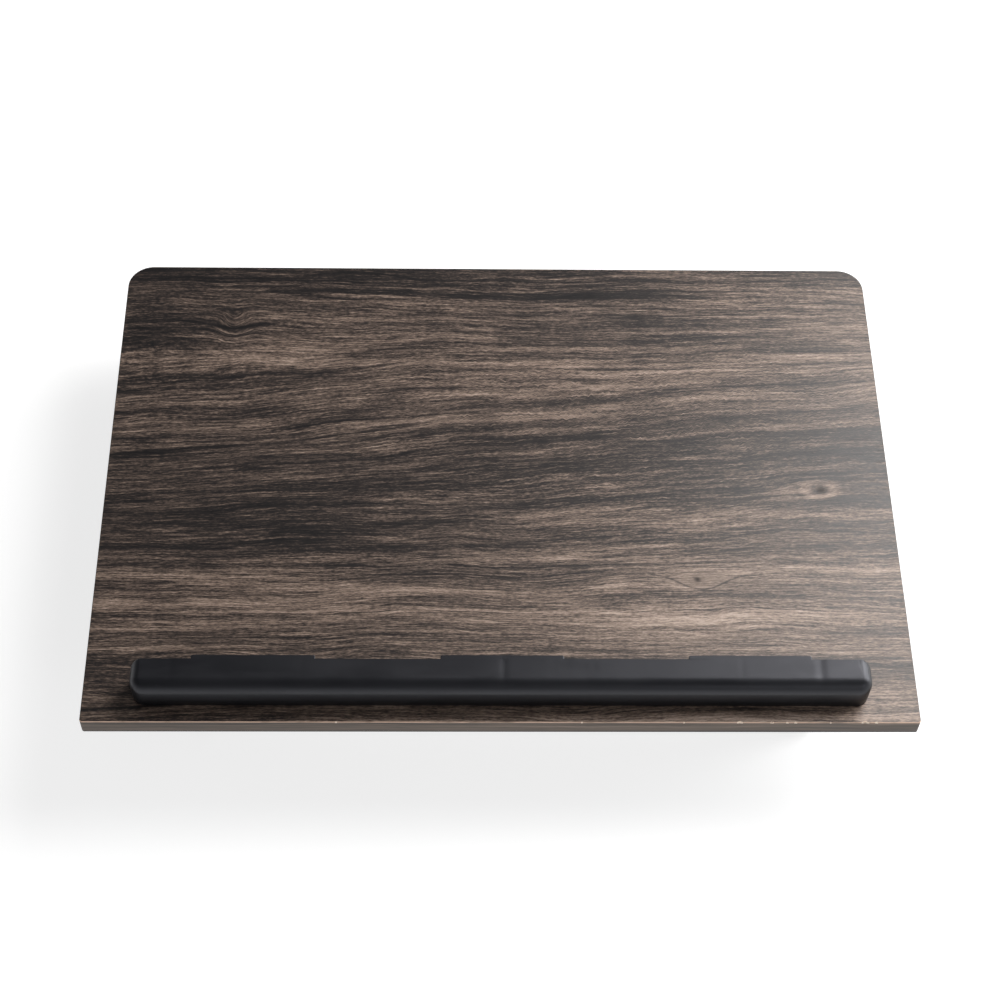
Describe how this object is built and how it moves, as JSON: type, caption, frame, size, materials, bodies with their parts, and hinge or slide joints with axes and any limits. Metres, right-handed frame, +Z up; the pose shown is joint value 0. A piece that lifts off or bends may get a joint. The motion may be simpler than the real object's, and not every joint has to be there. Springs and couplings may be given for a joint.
{
  "type": "standing desk converter",
  "caption": "Laptop board with a soft-touch front ledge on a scissor lift that raises it to standing height and tilts, freed by a squeeze lever under its front edge.",
  "frame": {"origin": "on the table, under the middle of the board, lift lowered and board flat", "axes": "+X to the user's right along the board's width, +Y away from the user, +Z up"},
  "size_m": [0.6, 0.42, 0.116],
  "materials": {
    "walnut_laminate": "dark walnut printed laminate, satin",
    "walnut_edge_band": "walnut printed edge banding, satin",
    "backing_laminate": "plain dark backing sheet",
    "particle_board": "raw particle board",
    "soft_touch_rubber": "black soft-touch skin",
    "ledge_pad_rubber": "black grippy rubber",
    "black_plastic": "moulded black plastic",
    "black_powder_coat": "fine textured black powder coat",
    "zinc_plated_steel": "bright zinc plating",
    "spring_steel": "drawn spring wire",
    "nylon": "natural nylon",
    "foot_rubber": "black rubber"
  },
  "bodies": {
    "base": {"base_rail_left": "black_powder_coat", "base_rail_right": "black_powder_coat", "base_strap_front": "black_powder_coat", "base_strap_rear": "black_powder_coat", "foot_1": "foot_rubber", "foot_2": "foot_rubber", "foot_3": "foot_rubber", "foot_4": "foot_rubber", "lift_spring_left": "spring_steel", "lift_spring_right": "spring_steel"},
    "outer_arms": {"outer_arm_left": "black_powder_coat", "outer_arm_right": "black_powder_coat", "rear_pivot_shaft": "zinc_plated_steel", "centre_bolt_left": "zinc_plated_steel", "centre_bolt_right": "zinc_plated_steel"},
    "inner_arms": {"inner_arm_left": "black_powder_coat", "inner_arm_right": "black_powder_coat", "top_pivot_shaft": "zinc_plated_steel", "inner_cross_tube": "black_powder_coat"},
    "top_frame": {"upper_rail_left": "black_powder_coat", "upper_rail_right": "black_powder_coat", "upper_front_bar": "black_powder_coat", "upper_mid_bar": "black_powder_coat", "upper_rear_bar": "black_powder_coat", "hinge_frame_leaf_left": "black_powder_coat", "hinge_frame_leaf_right": "black_powder_coat", "board_bumper_left": "foot_rubber", "board_bumper_right": "foot_rubber", "lock_housing": "black_powder_coat", "lever_bracket": "black_powder_coat"},
    "lower_carriage": {"lower_slide_shaft": "zinc_plated_steel", "lower_shoe_left": "nylon", "lower_shoe_right": "nylon"},
    "upper_carriage": {"upper_slide_shaft": "zinc_plated_steel", "upper_shoe_left": "nylon", "upper_shoe_right": "nylon", "lock_rod": "zinc_plated_steel"},
    "board": {"board_core": "particle_board", "top_laminate": "walnut_laminate", "bottom_laminate": "backing_laminate", "edge_band": "walnut_edge_band", "ledge_core": "black_plastic", "ledge_cover": "soft_touch_rubber", "ledge_pad_1": "ledge_pad_rubber", "ledge_pad_2": "ledge_pad_rubber", "ledge_pad_3": "ledge_pad_rubber", "ledge_screw_1": "zinc_plated_steel", "ledge_screw_2": "zinc_plated_steel", "ledge_screw_3": "zinc_plated_steel", "hinge_board_leaf_left": "black_powder_coat", "hinge_board_leaf_right": "black_powder_coat", "stay_bracket_left": "black_powder_coat", "stay_bracket_right": "black_powder_coat"},
    "stay": {"stay_leg_left": "black_powder_coat", "stay_leg_right": "black_powder_coat", "stay_foot_bar": "zinc_plated_steel"},
    "release_lever": {"release_lever": "black_powder_coat"},
    "release_link": {"release_link": "zinc_plated_steel"},
    "lock_plate": {"lock_plate": "zinc_plated_steel"}
  },
  "joints": [
    {"name": "lift", "type": "hinge", "parent": "base", "child": "outer_arms", "pos_m": [0, 0.175, 0.019], "axis": [-1, 0, 0], "range_deg": [0, 52], "deforming": ["lift_spring_left", "lift_spring_right"]},
    {"name": "cross_pivot", "type": "hinge", "parent": "outer_arms", "child": "inner_arms", "pos_m": [0, 0.01078, 0.035], "axis": [-1, 0, 0], "range_deg": [-104, 0]},
    {"name": "top_pivot", "type": "hinge", "parent": "inner_arms", "child": "top_frame", "pos_m": [0, 0.175, 0.051], "axis": [-1, 0, 0], "range_deg": [0, 52]},
    {"name": "lower_shoe", "type": "hinge", "parent": "inner_arms", "child": "lower_carriage", "pos_m": [0, -0.15344, 0.019], "axis": [-1, 0, 0], "range_deg": [0, 52]},
    {"name": "upper_shoe", "type": "hinge", "parent": "outer_arms", "child": "upper_carriage", "pos_m": [0, -0.15344, 0.051], "axis": [-1, 0, 0], "range_deg": [-52, 0]},
    {"name": "tilt", "type": "hinge", "parent": "top_frame", "child": "board", "pos_m": [0, -0.1935, 0.0693], "axis": [1, 0, 0], "range_deg": [0, 25]},
    {"name": "stay_fold", "type": "hinge", "parent": "board", "child": "stay", "pos_m": [0, -0.0035, 0.0693], "axis": [1, 0, 0], "range_deg": [-50, 0]},
    {"name": "release", "type": "hinge", "parent": "top_frame", "child": "release_lever", "pos_m": [0.06, -0.166, 0.04], "axis": [-1, 0, 0], "range_deg": [0, 10], "stiffness_Nm_per_rad": 0.5, "springref_deg": -11.46},
    {"name": "link_slide", "type": "slide", "parent": "top_frame", "child": "release_link", "axis": [0, 1, 0], "range_m": [0, 0.0036]},
    {"name": "plate_tilt", "type": "hinge", "parent": "top_frame", "child": "lock_plate", "pos_m": [0.06, 0.012, 0.036], "axis": [-1, 0, 0], "range_deg": [0, 8.4]}
  ],
  "couplings": [
    {"joint": "cross_pivot", "follows": "lift", "ratio": -2},
    {"joint": "top_pivot", "follows": "lift", "ratio": 1},
    {"joint": "lower_shoe", "follows": "lift", "ratio": 1},
    {"joint": "upper_shoe", "follows": "lift", "ratio": -1},
    {"joint": "stay_fold", "follows": "tilt", "ratio": -2},
    {"joint": "link_slide", "follows": "release", "m_per_rad": 0.02},
    {"joint": "plate_tilt", "follows": "release", "ratio": 0.836}
  ]
}
